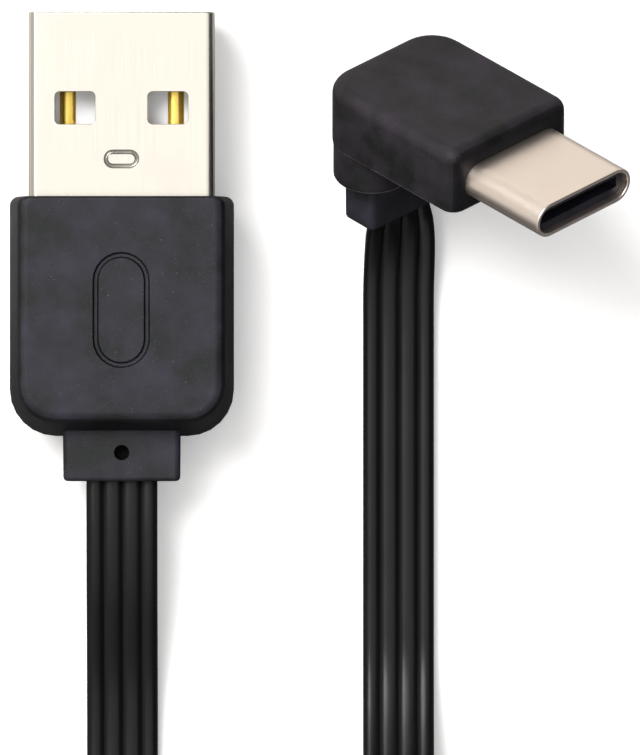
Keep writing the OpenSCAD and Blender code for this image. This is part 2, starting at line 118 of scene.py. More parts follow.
plug_a_mid_z = (collar_a_low.z + collar_a_high.z) / 2
exit_a = (0, collar_a_low.y, plug_a_mid_z)
into_c = Vector((0, math.cos(plug_c_tilt), math.sin(plug_c_tilt)))
depth_in_c = 4.4 * mm


def coil_stops():
    """The coil's line, wound inwards and anticlockwise from where the first run reaches it."""
    count = round(2 * math.pi * coil_turns / coil_step)
    for i in range(count + 1):
        turned = i * coil_step
        r = coil_r - coil_pitch * turned / (2 * math.pi)
        a = math.pi + turned
        yield (coil_mid.x + r * math.cos(a), coil_mid.y + r * math.sin(a), coil_mid.z, 90)


def smooth(stops, between):
    """More stops between each two, on a curve that passes through all of them."""
    out = []
    last = len(stops) - 1
    for i in range(last):
        a, b = stops[max(i - 1, 0)], stops[i]
        c, d = stops[i + 1], stops[min(i + 2, last)]
        for k in range(between):
            t = k / between
            out.append(tuple(
                0.5 * (2 * b[n] + (c[n] - a[n]) * t
                       + (2 * a[n] - 5 * b[n] + 4 * c[n] - d[n]) * t * t
                       + (3 * b[n] - a[n] - 3 * c[n] + d[n]) * t ** 3)
                for n in range(4)))
    return out + [stops[last]]


def ribbon_section():
    """The jacket's outline: four round ribs and the thin webs that join them, once round."""
    top = []
    end = ribbon_w / 2
    outer = 1.5 * rib_pitch
    for i in range(4 * rib_steps + 1):
        x = -2 * rib_pitch + i * rib_pitch / rib_steps
        x = max(-outer, min(outer, x))
        if top and abs(x - top[-1][0]) < touching:
            continue
        nearest = (math.floor(x / rib_pitch) + 0.5) * rib_pitch
        away = min(1, abs(x - nearest) / (rib_pitch / 2) * rib_fill)
        rise = math.sqrt(max(0, 1 - away ** rib_roundness))
        top.append((x, web_top + (rib_top - web_top) * rise))
    cap = []
    for i in range(1, edge_steps):
        a = math.pi / 2 - i * math.pi / edge_steps
        cap.append((outer + (end - outer) * math.cos(a), rib_top * math.sin(a)))
    right = top + cap
    return right + [(-x, -y) for x, y in right]


def skin(name, rings, capped=True):
    """One mesh over rings of equally many points. Without caps, the last ring joins the first."""
    n = len(rings[0])
    count = len(rings) if not capped else len(rings) - 1
    faces = []
    for i in range(count):
        here, there = i * n, (i + 1) % len(rings) * n
        for k in range(n):
            faces.append((here + k, here + (k + 1) % n, there + (k + 1) % n, there + k))
    if capped:
        faces.append(tuple(reversed(range(n))))
        faces.append(tuple(range((len(rings) - 1) * n, len(rings) * n)))
    mesh = bpy.data.meshes.new(name)
    mesh.from_pydata([tuple(p) for ring in rings for p in ring], [], faces)
    work = bmesh.new()
    work.from_mesh(mesh)
    bmesh.ops.remove_doubles(work, verts=work.verts, dist=touching)
    bmesh.ops.recalc_face_normals(work, faces=work.faces)
    work.to_mesh(mesh)
    work.free()
    piece = bpy.data.objects.new(name, mesh)
    bpy.context.scene.collection.objects.link(piece)
    return piece


def soften(piece, sharp_over=40):
    """Smooth shading with flat faces kept flat, and a hard line only where faces turn sharply."""
    piece.data.shade_smooth()
    piece.data.set_sharp_from_angle(angle=math.radians(sharp_over))
    weighted = piece.modifiers.new("flat faces", "WEIGHTED_NORMAL")
    weighted.keep_sharp = True
    weighted.weight = 100


route = [(0, ribbon_start, plug_a_mid_z, 0), (*exit_a, 0)]
route = smooth(route + run_from_a, route_steps)[:-1] + list(coil_stops())[:-1]
loose_end = list(coil_stops())[-1:] + run_to_c
roll_in_c = 90 - math.degrees(plug_c_turn)
loose_end += [(*(plug_c_exit + into_c * d), roll_in_c) for d in (0, depth_in_c)]
route += smooth(loose_end, route_steps)
section = ribbon_section()
rings = []
along = [0.0]
for i, stop in enumerate(route):
    here = Vector(stop[:3])
    ahead = Vector(route[min(i + 1, len(route) - 1)][:3])
    behind = Vector(route[max(i - 1, 0)][:3])
    heading = (ahead - behind).normalized()
    across = Vector((0, 0, 1)).cross(heading).normalized()
    up = heading.cross(across)
    roll = math.radians(stop[3])
    wide = across * math.cos(roll) + up * math.sin(roll)
    thick = up * math.cos(roll) - across * math.sin(roll)
    rings.append([here + wide * x + thick * y for x, y in section])
    if i:
        along.append(along[-1] + (here - behind).length)
ribbon = skin("ribbon", rings)
soften(ribbon, 60)

# The jacket's own coordinates: across the ribbon and along it, both in metres
measure = ribbon.data.uv_layers.new(name="jacket")
for face in ribbon.data.polygons:
    for loop in face.loop_indices:
        v = ribbon.data.loops[loop].vertex_index
        i, k = divmod(v, len(section))
        measure.data[loop].uv = (section[k][0], along[i])


def new_group(name, inputs, outputs):
    """An empty shader group with number inputs and the outputs that are named."""
    group = bpy.data.node_groups.new(name, "ShaderNodeTree")
    for label, value in inputs:
        socket = group.interface.new_socket(label, in_out="INPUT", socket_type="NodeSocketFloat")
        socket.default_value = value
    for label, kind in outputs:
        group.interface.new_socket(label, in_out="OUTPUT", socket_type=kind)
    return group, group.nodes.new("NodeGroupInput"), group.nodes.new("NodeGroupOutput")


def add(tree, kind, **settings):
    """One node, with its properties and the values of its inputs set by name."""
    made = tree.nodes.new(kind)
    for label, value in settings.items():
        if hasattr(made, label):
            setattr(made, label, value)
        else:
            made.inputs[label.replace("_", " ")].default_value = value
    return made


def remap(tree, source, between, to=(0, 1)):
    """Spreads the part of a value that lies between two numbers over another range."""
    node = add(tree, "ShaderNodeMapRange", From_Min=between[0], From_Max=between[1],
               To_Min=to[0], To_Max=to[1])
    tree.links.new(source, node.inputs["Value"])
    return node.outputs["Result"]


def blend_colour(tree, mask, first, second):
    """A colour between two, by a mask. Each is a colour or the socket that gives one."""
    node = add(tree, "ShaderNodeMix", data_type="RGBA")
    tree.links.new(mask, node.inputs[0])
    for slot, colour in ((6, first), (7, second)):
        if isinstance(colour, tuple):
            node.inputs[slot].default_value = (*colour, 1)
        else:
            tree.links.new(colour, node.inputs[slot])
    return node.outputs[2]


def finish_of(name, rough, metal=0.0, specular=0.5, bump=0.0):
    """A material with its shader, and a bump node that waits for its height."""
    material = bpy.data.materials.new(name)
    material.use_nodes = True
    tree = material.node_tree
    shader = tree.nodes["Principled BSDF"]
    shader.inputs["Roughness"].default_value = rough
    shader.inputs["Metallic"].default_value = metal
    shader.inputs["Specular IOR Level"].default_value = specular
    relief = add(tree, "ShaderNodeBump", Strength=1.0, Distance=bump)
    tree.links.new(relief.outputs["Normal"], shader.inputs["Normal"])
    return material, tree, shader, relief


def put_group(tree, group, **values):
    """Places a shared effect in a material, with that material's own values."""
    node = tree.nodes.new("ShaderNodeGroup")
    node.node_tree = group
    for label, value in values.items():
        node.inputs[label.replace("_", " ")].default_value = value
    return node


def per_metre(tree, size):
    """How often something of a size in millimetres repeats in a metre."""
    node = add(tree, "ShaderNodeMath", operation="DIVIDE")
    node.inputs[0].default_value = 1000
    tree.links.new(size, node.inputs[1])
    return node.outputs[0]


# Dust and slight handling marks: soft patches, and small specks that catch the light
handled, given, made = new_group(
    "handled surface", [("Patch Size", 3.0), ("Speck Size", 0.12)],
    [("Patches", "NodeSocketFloat"), ("Specks", "NodeSocketFloat")])
place = add(handled, "ShaderNodeTexCoord")
for size, label, between in (("Patch Size", "Patches", (0.35, 0.68)),
                             ("Speck Size", "Specks", (0.68, 0.76))):
    cloud = add(handled, "ShaderNodeTexNoise", Detail=3.0, Roughness=0.55)
    handled.links.new(place.outputs["Object"], cloud.inputs["Vector"])
    handled.links.new(per_metre(handled, given.outputs[size]), cloud.inputs["Scale"])
    handled.links.new(remap(handled, cloud.outputs["Fac"], between), made.inputs[label])

# Lines that the extruder's die leaves along the jacket
drawn, given, made = new_group("die lines", [("Lines", 3.0)], [("Height", "NodeSocketFloat")])
where = add(drawn, "ShaderNodeUVMap", uv_map="jacket")
stretch = add(drawn, "ShaderNodeMapping")
lines_across, lines_along = 1000, 12
stretch.inputs["Scale"].default_value = (lines_across, lines_along, 1)
drawn.links.new(where.outputs["UV"], stretch.inputs["Vector"])
lines = add(drawn, "ShaderNodeTexNoise", Detail=2.0)
drawn.links.new(given.outputs["Lines"], lines.inputs["Scale"])
drawn.links.new(stretch.outputs["Vector"], lines.inputs["Vector"])
drawn.links.new(lines.outputs["Fac"], made.inputs["Height"])

jacket, tree, shader, relief = finish_of("black ribbed jacket", 0.3, specular=0.22, bump=0.012 * mm)
marks = put_group(tree, handled, Patch_Size=6.0, Speck_Size=0.14)
streaks = put_group(tree, drawn, Lines=3.0)
dusty = blend_colour(tree, marks.outputs["Specks"], (0.0045, 0.0045, 0.005), (0.02, 0.02, 0.021))
tree.links.new(dusty, shader.inputs["Base Color"])
sheen = remap(tree, marks.outputs["Patches"], between=(0, 1), to=(0.27, 0.4))
tree.links.new(sheen, shader.inputs["Roughness"])
tree.links.new(streaks.outputs["Height"], relief.inputs["Height"])
ribbon.data.materials.append(jacket)

# ---- Coil ties ----
# Three short bands of black hook-and-loop tape, each wrapped once round the wound turns, with
# its tail pressed down on its own start. They hold the coil and lift it off the table.
tie_angles = (20, 140, 250)
tie_w = 3.0 * mm
tie_t = 0.4 * mm
tie_gap = 0.1 * mm
tie_corner = 0.5 * mm
tail_l = 5.5 * mm
tail_steps = 6
tail_less_w, tail_lift = 0.15 * mm, 1.45 * tie_t
bundle_top = coil_mid.z + ribbon_w / 2


def outline(x0, x1, y0, y1, radii, steps=6):
    """A rectangle with round corners, anticlockwise from its right side. radii are those of
    the corners (x1, y1), (x0, y1), (x0, y0) and (x1, y0)."""
    points = []
    corners = ((x1, y1, -1, -1), (x0, y1, 1, -1), (x0, y0, 1, 1), (x1, y0, -1, 1))
    for turn, (x, y, sx, sy) in enumerate(corners):
        r = max(radii[turn], 0.002 * mm)
        for k in range(steps + 1):
            a = math.pi / 2 * (turn + k / steps)
            points.append((x + sx * r + r * math.cos(a), y + sy * r + r * math.sin(a)))
    return points


def band(path, width, thickness, closed):
    """Rings of a flat strap that follows path, a list of (radial, height) points."""
    rings = []
    n = len(path)
    edge_r = thickness * 0.4
    profile = outline(-width / 2, width / 2, -thickness / 2, thickness / 2, [edge_r] * 4, 3)
    for i, (r, z) in enumerate(path):
        a = path[(i - 1) % n] if closed else path[max(i - 1, 0)]
        b = path[(i + 1) % n] if closed else path[min(i + 1, n - 1)]
        out = Vector((b[1] - a[1], 0, -(b[0] - a[0]))).normalized()
        rings.append([Vector((r, 0, z)) + Vector((0, 1, 0)) * x + out * y for x, y in profile])
    return rings


tape, tree, shader, relief = finish_of("loop tape", 0.85, specular=0.3, bump=0.12 * mm)
shader.inputs["Sheen Weight"].default_value = 0.08
place = add(tree, "ShaderNodeTexCoord")
pile = add(tree, "ShaderNodeTexVoronoi", Scale=3600.0)
tree.links.new(place.outputs["Object"], pile.inputs["Vector"])
tree.links.new(pile.outputs["Distance"], relief.inputs["Height"])
tufts = remap(tree, pile.outputs["Distance"], between=(0.1, 0.7))
tree.links.new(blend_colour(tree, tufts, (0.012, 0.012, 0.013), (0.03, 0.03, 0.032)),
               shader.inputs["Base Color"])


def bundle_at(degrees):
    """The inner and outer radius of the turns that lie side by side at an angle of the coil."""
    begun = (degrees - 180) % 360 / 360
    outermost = coil_r - coil_pitch * begun
    innermost = outermost - coil_pitch * math.floor(coil_turns - begun)
    return innermost - rib_top, outermost + rib_top


ties = []
for number, degrees in enumerate(tie_angles, 1):
    bundle_in, bundle_out = bundle_at(degrees)
    wrap = outline(bundle_in - tie_gap - tie_t / 2, bundle_out + tie_gap + tie_t / 2,
                   tie_t / 2, bundle_top + tie_gap + tie_t / 2, [tie_corner] * 4)
    tie = skin(f"coil_tie_{number}", band(wrap, tie_w, tie_t, True), capped=False)
    middle = (bundle_in + bundle_out) / 2
    flat = [(middle - tail_l / 2 + tail_l * k / tail_steps, bundle_top + tie_gap + tail_lift)
            for k in range(tail_steps + 1)]
    tail = skin("tail", band(flat, tie_w - tail_less_w, tie_t, False))
    joined = bmesh.new()
    joined.from_mesh(tie.data)
    joined.from_mesh(tail.data)
    joined.to_mesh(tie.data)
    joined.free()
    bpy.data.objects.remove(tail)
    turn = Matrix.Rotation(math.radians(degrees), 4, "Z")
    tie.data.transform(Matrix.Translation((coil_mid.x, coil_mid.y, 0)) @ turn)
    soften(tie)
    tie.data.materials.append(tape)
    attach(tie, "root")
    ties.append(tie)
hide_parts("coil_ties")

# ---- USB-A grip ----
# The charcoal PVC cover that is moulded over the plug's rear half and the strain relief. Its
# face has the fine sparked grain of the mould, and a plain sunken oblong to feel for. Its sides
# lean in from the parting line, are a little glossier, and are painted darker than the face as
# shade.
grip_low, grip_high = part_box("usb_a_grip")
shell_a_low, shell_a_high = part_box("usb_a_shell")
mould_a_low, mould_a_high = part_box("usb_a_inner_mould")
grip_side_r = 0.6 * mm
grip_side_lean, grip_rear_lean = 0.65 * mm, 1.0 * mm
lean_curve = 1.3
grip_front_r = 0.25 * mm
grip_rear_corner = 3.0 * mm
grip_front_corner = 0.6 * mm
fillet_steps = 8
parting = 0.03 * mm
from_parting = (0.06, 0.5, 1.0, 1.5, 2.1, 2.7)
snug = 0.03 * mm
shell_pocket_r, mould_pocket_r = 0.6 * mm, 0.8 * mm
mark_w, mark_l, mark_line, mark_depth = 3.7 * mm, 7.5 * mm, 0.4 * mm, 0.2 * mm
mark_y = -4.1 * mm
# The oblong's groove, from its outer edge to its inner: (share of half its width, of its depth)
groove = ((1, 0), (0.7, 0.45), (0.45, 0.9), (0, 1), (-0.45, 0.9), (-0.7, 0.45), (-1, 0))


def quarter(steps):
    """Angles of a rounded edge, from the wall to the face."""
    return [math.pi / 2 * k / steps for k in range(steps + 1)]


def flatten(ring, z):
    """A flat outline as points at height z."""
    return [Vector((x, y, z)) for x, y in ring]


def grip_ring(z, sunk=0):
    """The grip's plan at height z: its sides and rear lean in from the parting line, and their
    edges are rounder than the edge of its mouth."""
    up = min(z - grip_low.z, grip_high.z - z)
    side, mouth = (r - math.sqrt(max(0, r * r - max(0, r - up) ** 2))
                   for r in (grip_side_r, grip_front_r))
    off_middle = abs(z - middle_z) / (middle_z - grip_low.z)
    rear = side + grip_rear_lean * off_middle
    side += grip_side_lean * off_middle ** lean_curve
    rear_r = grip_rear_corner - side
    return flatten(outline(grip_low.x + side + sunk, grip_high.x - side - sunk,
                           grip_low.y + rear + sunk, grip_high.y - mouth,
                           [grip_front_corner, grip_front_corner, rear_r, rear_r]), z)


def combine(piece, other, operation):
    """Joins another shape to the piece or takes it away, and uses that shape up."""
    step = piece.modifiers.new("combine", "BOOLEAN")
    step.operation = operation
    step.solver = "EXACT"
    step.object = other
    whole = piece.evaluated_get(bpy.context.evaluated_depsgraph_get())
    done = bpy.data.meshes.new_from_object(whole)
    piece.modifiers.clear()
    piece.data = done
    bpy.data.objects.remove(other)


def cut(piece, *tools):
    """Takes the shape of one tool after the other out of the piece."""
    for tool in tools:
        combine(piece, tool, "DIFFERENCE")


def pocket_for(name, low, high, front, r):
    """The room that a box from low to high needs, with round corners, as far forward as front."""
    half_w = (high.x - low.x) / 2 + snug
    ring = outline(-half_w, half_w, low.z - snug, high.z + snug, [r] * 4)
    return skin(name, [[Vector((x, y, z)) for x, z in ring] for y in (low.y - snug, front)])


down = [grip_side_r * (1 - math.cos(a)) for a in quarter(fillet_steps)]
middle_z = (grip_low.z + grip_high.z) / 2
rings = [grip_ring(grip_low.z + d) for d in down]
rings += [grip_ring(middle_z - d * mm) for d in reversed(from_parting)]
rings.append(grip_ring(middle_z, parting))
rings += [grip_ring(middle_z + d * mm) for d in from_parting]
rings += [grip_ring(grip_high.z - d) for d in reversed(down)]
half_line = mark_line / 2
for share, depth in groove:
    half = mark_w / 2 - half_line + half_line * share
    long = mark_l / 2 - half_line + half_line * share
    ring = outline(-half, half, mark_y - long, mark_y + long, [half] * 4)
    rings.append(flatten(ring, grip_high.z - depth * mark_depth))
grip = skin("usb_a_grip_cover", rings)
cut(grip,
    pocket_for("shell pocket", shell_a_low, shell_a_high, grip_high.y + mm, shell_pocket_r),
    pocket_for("mould pocket", mould_a_low, mould_a_high, shell_a_low.y + snug, mould_pocket_r))
soften(grip)

# The grain that the spark-worn mould gives its plastic
grain, given, made = new_group(
    "moulded grain", [("Grain Size", 0.12)],
    [("Height", "NodeSocketFloat"), ("Grains", "NodeSocketFloat")])
place = add(grain, "ShaderNodeTexCoord")
how_often = per_metre(grain, given.outputs["Grain Size"])
pits = add(grain, "ShaderNodeTexVoronoi", feature="SMOOTH_F1")
rough = add(grain, "ShaderNodeTexNoise", Detail=3.0, Roughness=0.6)
for node in (pits, rough):
    grain.links.new(place.outputs["Object"], node.inputs["Vector"])
    grain.links.new(how_often, node.inputs["Scale"])
both = add(grain, "ShaderNodeMath", operation="ADD")
grain.links.new(pits.outputs["Distance"], both.inputs[0])
grain.links.new(rough.outputs["Fac"], both.inputs[1])
grain.links.new(both.outputs[0], made.inputs["Height"])
grains = remap(grain, rough.outputs["Fac"], between=(0.35, 0.65))
grain.links.new(grains, made.inputs["Grains"])


def tinted(colour, factors):
    """A colour with its red, green and blue each taken a number of times."""
    return tuple(c * k for c, k in zip(colour, factors))


def grained_plastic(name, colour, specks, rough, grain_size, bump):
    """Matte moulded plastic: a fine grain, cloudy patches and a few light specks."""
    material, tree, shader, relief = finish_of(name, rough[0], specular=0.22, bump=bump)
    skin_grain = put_group(tree, grain, Grain_Size=grain_size)
    marks = put_group(tree, handled, Patch_Size=2.4, Speck_Size=0.16)
    tints = put_group(tree, handled, Patch_Size=1.3, Speck_Size=0.5)
    dark, cool = tinted(colour, (0.55, 0.55, 0.55)), tinted(colour, (0.5, 0.7, 0.6))
    pale = tinted(colour, (1.8, 1.75, 2.15))
    grains = blend_colour(tree, skin_grain.outputs["Grains"], dark, colour)
    cooler = blend_colour(tree, tints.outputs["Patches"], grains, cool)
    cloudy = blend_colour(tree, marks.outputs["Patches"], cooler, pale)
    speckled = blend_colour(tree, marks.outputs["Specks"], cloudy, specks)
    tree.links.new(speckled, shader.inputs["Base Color"])
    sheen = remap(tree, marks.outputs["Patches"], between=(0, 1), to=rough)
    tree.links.new(sheen, shader.inputs["Roughness"])
    tree.links.new(skin_grain.outputs["Height"], relief.inputs["Height"])
    return material


grip_face = grained_plastic(
    "charcoal grip plastic", (0.015, 0.0142, 0.017), specks=(0.085, 0.083, 0.1),
    rough=(0.5, 0.6), grain_size=0.07, bump=0.012 * mm)
side_plastic_in_painted_shade = grained_plastic(
    "side plastic in painted shade", (0.0055, 0.0052, 0.006), specks=(0.05, 0.048, 0.055),
    rough=(0.42, 0.52), grain_size=0.08, bump=0.006 * mm)
grip.data.materials.append(grip_face)
grip.data.materials.append(side_plastic_in_painted_shade)
# Faces steeper than this get the side plastic, which is painted darker as shade.
steep = 0.8
for face in grip.data.polygons:
    face.material_index = int(abs(face.normal.z) < steep)
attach(grip, "root")
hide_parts("usb_a_grip")

# ---- USB-A shell ----
# The plug's bright nickel-plated steel shell, bent up from sheet and closed by a seam on its
# underside. Two windows for the socket's springs and a pressed oval key are stamped in it.
shell_a_wall = 0.3 * mm
shell_a_corner = 0.55 * mm
lip = 0.1 * mm
window_x, window_w, window_l, window_r = 3.0 * mm, 2.6 * mm, 2.1 * mm, 0.32 * mm
window_from_tip, key_from_tip = 6.2 * mm, 9.5 * mm
key_w, key_l, key_line, key_depth = 2.25 * mm, 1.16 * mm, 0.25 * mm, 0.15 * mm
seam_w = 0.1 * mm
worn_edge = 0.03 * mm
hair = 0.01 * mm
least_r = 0.05 * mm


def tube_rings(half_w, half_t, corner, wall, rear, tip, place, steps=8):
    """Rings of a thin-walled tube, out to its rounded lip and back inside. place turns
    (across, along, up) into a point."""
    edge = [(0, rear), (0, tip - lip)]
    edge += [(lip * (1 - math.cos(a)), tip - lip + lip * math.sin(a)) for a in quarter(4)[1:]]
    edge += [(wall - lip * (1 - math.sin(a)), tip - lip + lip * math.cos(a)) for a in quarter(4)]
    edge += [(wall, rear)]
    return [[place(x, y, z)
             for x, z in outline(-half_w + d, half_w - d, -half_t + d, half_t - d,
                                 [max(corner - d, least_r)] * 4, steps)] for d, y in edge]


def oval_tool(name, x, y, z, half_w, half_l, line, depth, steps=12):
    """A round-bottomed groove's shape, along an oval with half-round ends."""
    r = min(half_w, half_l)
    path = outline(x - half_w, x + half_w, y - half_l, y + half_l, [r] * 4, 10)
    path = [p for i, p in enumerate(path) if math.dist(p, path[i - 1]) > touching]
    rings = []
    for i, (a, b) in enumerate(path):
        nxt, was = path[(i + 1) % len(path)], path[i - 1]
        out = Vector((nxt[1] - was[1], was[0] - nxt[0], 0)).normalized()
        ring = []
        for k in range(steps):
            t = 2 * math.pi * k / steps
            ring.append(Vector((a, b, z)) + out * (line / 2 * math.cos(t))
                        + Vector((0, 0, depth * math.sin(t))))
        rings.append(ring)
    return skin(name, rings, capped=False)


shell_mid_z = (shell_a_low.z + shell_a_high.z) / 2
shell_a = skin("usb_a_shell_pressing", tube_rings(
    (shell_a_high.x - shell_a_low.x) / 2, (shell_a_high.z - shell_a_low.z) / 2,
    shell_a_corner, shell_a_wall, shell_a_low.y, shell_a_high.y,
    lambda x, y, z: Vector((x, y, z + shell_mid_z))), capped=False)
window_y = shell_a_high.y - window_from_tip
tools = []
for side in (-1, 1):
    ring = outline(side * window_x - window_w / 2, side * window_x + window_w / 2,
                   window_y - window_l / 2, window_y + window_l / 2, [window_r] * 4)
    through = (shell_a_low.z - mm, shell_a_high.z + mm)
    tools.append(skin("window", [flatten(ring, z) for z in through]))
tools.append(oval_tool("key", 0, shell_a_high.y - key_from_tip, shell_a_high.z,
                       (key_w - key_line) / 2, (key_l - key_line) / 2, key_line, key_depth))
ring = outline(-seam_w / 2, seam_w / 2, shell_a_low.y - mm, shell_a_high.y + mm, [0] * 4, 1)
tools.append(skin("seam", [flatten(ring, z) for z in (shell_a_low.z - mm, shell_mid_z)]))
cut(shell_a, *tools)
rolled = shell_a.modifiers.new("stamped edges", "BEVEL")
rolled.width = worn_edge
rolled.segments = 2
rolled.use_clamp_overlap = False
rolled.limit_method = "ANGLE"
rolled.angle_limit = math.radians(50)
soften(shell_a, 35)

# Very fine lines and cloudy patches that rolling and plating leave on sheet metal
rolled_metal, given, made = new_group(
    "rolled metal", [("Line Length", 6.0), ("Line Size", 0.05)],
    [("Height", "NodeSocketFloat"), ("Tone", "NodeSocketFloat")])
place = add(rolled_metal, "ShaderNodeTexCoord")
scale = add(rolled_metal, "ShaderNodeCombineXYZ")
for size, axes in (("Line Size", "XZ"), ("Line Length", "Y")):
    how_often = per_metre(rolled_metal, given.outputs[size])
    for axis in axes:
        rolled_metal.links.new(how_often, scale.inputs[axis])
squeezed = add(rolled_metal, "ShaderNodeVectorMath", operation="MULTIPLY")
rolled_metal.links.new(place.outputs["Object"], squeezed.inputs[0])
rolled_metal.links.new(scale.outputs[0], squeezed.inputs[1])
lines = add(rolled_metal, "ShaderNodeTexNoise", Scale=1.0, Detail=3.0)
rolled_metal.links.new(squeezed.outputs[0], lines.inputs["Vector"])
rolled_metal.links.new(lines.outputs["Fac"], made.inputs["Height"])
cloud = add(rolled_metal, "ShaderNodeTexNoise", Scale=260.0, Detail=2.0)
rolled_metal.links.new(place.outputs["Object"], cloud.inputs["Vector"])
tone = remap(rolled_metal, cloud.outputs["Fac"], between=(0.35, 0.65))
rolled_metal.links.new(tone, made.inputs["Tone"])


sheet_bump = 0.002 * mm


def plated(name, colour, tint, rough, bump=sheet_bump):
    """Plated sheet metal, with its lines and a slight drift of tone."""
    material, tree, shader, relief = finish_of(name, rough[0], metal=1.0, bump=bump)
    lines = put_group(tree, rolled_metal, Line_Length=5.0, Line_Size=0.05)
    drift = blend_colour(tree, lines.outputs["Tone"], colour, tint)
    tree.links.new(drift, shader.inputs["Base Color"])
    sheen = remap(tree, lines.outputs["Height"], between=(0.3, 0.7), to=rough)
    tree.links.new(sheen, shader.inputs["Roughness"])
    tree.links.new(lines.outputs["Height"], relief.inputs["Height"])
    return material


shell_a.data.materials.append(plated(
    "bright nickel", (0.675, 0.645, 0.575), (0.65, 0.625, 0.56), rough=(0.2, 0.28)))
shell_a.data.materials.append(plated(
    "dull struck nickel", (0.46, 0.44, 0.40), (0.34, 0.33, 0.30), rough=(0.3, 0.4)))
# Faces in the key's groove get a darker, rougher nickel.
for face in shell_a.data.polygons:
    at = face.center
    in_key = abs(at.x) < key_w / 2 and abs(at.y - shell_a_high.y + key_from_tip) < key_l / 2
    grooved = shell_a_high.z - key_depth * 1.1 < at.z < shell_a_high.z - 2 * hair
    face.material_index = int(in_key and grooved)
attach(shell_a, "root")
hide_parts("usb_a_shell")

# ---- USB-A collar and USB-C collar ----
# The square strain reliefs of the same charcoal plastic, moulded on the ribbon first and then
# caught by the grip, which holds the narrower stem behind each. A blind hole in the face of
# each is where the mould's pin held it; its inside is painted near black as shade.
collar_w, collar_t = collar_a_high.x - collar_a_low.x, collar_a_high.z - collar_a_low.z
collar_edge = 0.45 * mm
collar_stem_w, collar_stem_l = 6.4 * mm, 2.0 * mm
collar_end_r = 0.28 * mm
pin_d, pin_depth, pin_at = 1.0 * mm, 0.84 * mm, 1.05 * mm
pin_steps = 32
collar_draft = 0.03 * mm
collar_root = 0.6 * mm
stem_less = 0.05 * mm
slot_ease_w, slot_ease_t = 1.02, 1.05
collar_plastic = grained_plastic(
    "charcoal collar plastic", (0.016, 0.0152, 0.018), specks=(0.085, 0.083, 0.1),
    rough=(0.5, 0.62), grain_size=0.08, bump=0.014 * mm)

# The inside of the pin hole is painted near black, as shade.
pin_hole_shade, tree, shader, relief = finish_of("pin hole in painted shade", 0.9, specular=0.1, bump=0.02 * mm)
marks = put_group(tree, handled, Patch_Size=0.3, Speck_Size=0.1)
painted_shade = blend_colour(tree, marks.outputs["Patches"], (0.001, 0.001, 0.001), (0.003, 0.003, 0.003))
tree.links.new(painted_shade, shader.inputs["Base Color"])
tree.links.new(marks.outputs["Specks"], relief.inputs["Height"])


def collar(name, out):
    """A collar in its own frame: the cable leaves along -Y, and it is seated at y = 0."""
    def ring(y, less, width=collar_w):
        half_w, half_t = width / 2 - less, collar_t / 2 - less
        r = max(collar_edge - less, least_r)
        return [Vector((x, y, z)) for x, z in outline(-half_w, half_w, -half_t, half_t, [r] * 4)]
    rings = [ring(-out + collar_end_r * (1 - math.sin(a)),
                  collar_draft + collar_end_r * (1 - math.cos(a))) for a in reversed(quarter(4))]
    rings.append(ring(collar_root, 0))
    rings += [ring(y, stem_less, collar_stem_w) for y in (collar_root, collar_stem_l)]
    made = skin(name, rings)
    circle = [(pin_d / 2 * math.cos(a), pin_d / 2 * math.sin(a) - pin_at)
              for a in (2 * math.pi * k / pin_steps for k in range(pin_steps))]
    hole = skin("pin hole", [flatten(circle, z) for z in (collar_t / 2 - pin_depth, collar_t)])
    room = [[Vector((x * slot_ease_w, y, z * slot_ease_t)) for x, z in section]
            for y in (-out - mm, collar_stem_l + mm)]
    cut(made, hole, skin("ribbon slot", room))
    made.data.materials.append(collar_plastic)
    made.data.materials.append(pin_hole_shade)
    for face in made.data.polygons:
        corners = [made.data.vertices[v].co for v in face.vertices]
        in_hole = (math.hypot(c.x, c.y + pin_at) < pin_d / 2 + hair for c in corners)
        face.material_index = int(all(in_hole) and all(c.z > 0 for c in corners))
    return made


collar_a = collar("usb_a_collar_moulding", grip_low.y - collar_a_low.y)
collar_a.data.transform(Matrix.Translation((0, grip_low.y, plug_a_mid_z)))
soften(collar_a)
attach(collar_a, "root")
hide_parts("usb_a_collar")

# The USB-C plug's frame: X along the plug, Z away from its cable
stand_c = (Matrix.Translation(plug_c_exit) @ Matrix.Rotation(plug_c_tilt - math.pi / 2, 4, "X")
           @ Matrix.Rotation(-plug_c_turn, 4, "Z"))
collar_c_out = 3.4 * mm
collar_c = collar("usb_c_collar_moulding", collar_c_out)
face_forward = Matrix(((0, 0, 1, 0), (1, 0, 0, 0), (0, 1, 0, 0), (0, 0, 0, 1)))
collar_c.data.transform(stand_c @ Matrix.Translation((0, 0, collar_c_out)) @ face_forward)
soften(collar_c)
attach(collar_c, "root")
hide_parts("usb_c_collar")

